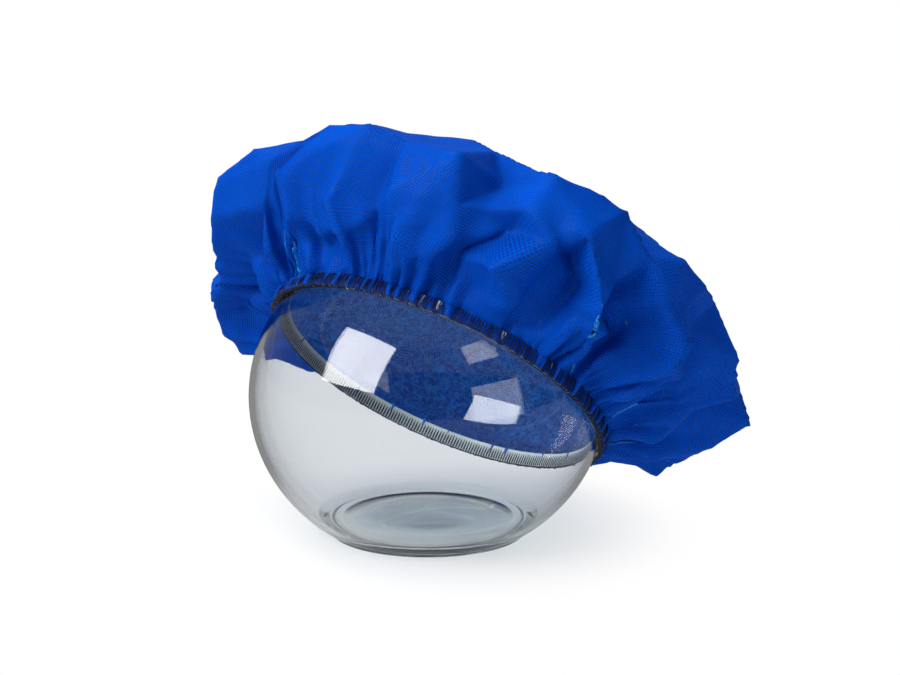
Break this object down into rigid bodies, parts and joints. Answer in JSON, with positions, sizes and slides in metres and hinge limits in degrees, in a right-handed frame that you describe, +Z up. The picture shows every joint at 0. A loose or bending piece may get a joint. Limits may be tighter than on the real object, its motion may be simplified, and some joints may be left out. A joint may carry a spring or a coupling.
{
  "type": "disposable hairnet on a glass bowl stand",
  "caption": "Puffed nonwoven bouffant cap with an elastic hem, stretched slantwise over a round glass bowl that stands on its flat base.",
  "frame": {"origin": "middle of the flat base that the bowl stands on", "axes": "+Z up, -Y towards the side seen in the picture, +X to its right"},
  "size_m": [0.2976, 0.2553, 0.223],
  "materials": {
    "nonwoven": "matte embossed spunbond nonwoven",
    "elastic": "woven elastic under black overlock thread",
    "glass": "clear polished"
  },
  "bodies": {
    "root": {"bouffant_crown": "nonwoven", "elastic_band": "elastic", "glass_bowl": "glass"}
  },
  "joints": []
}
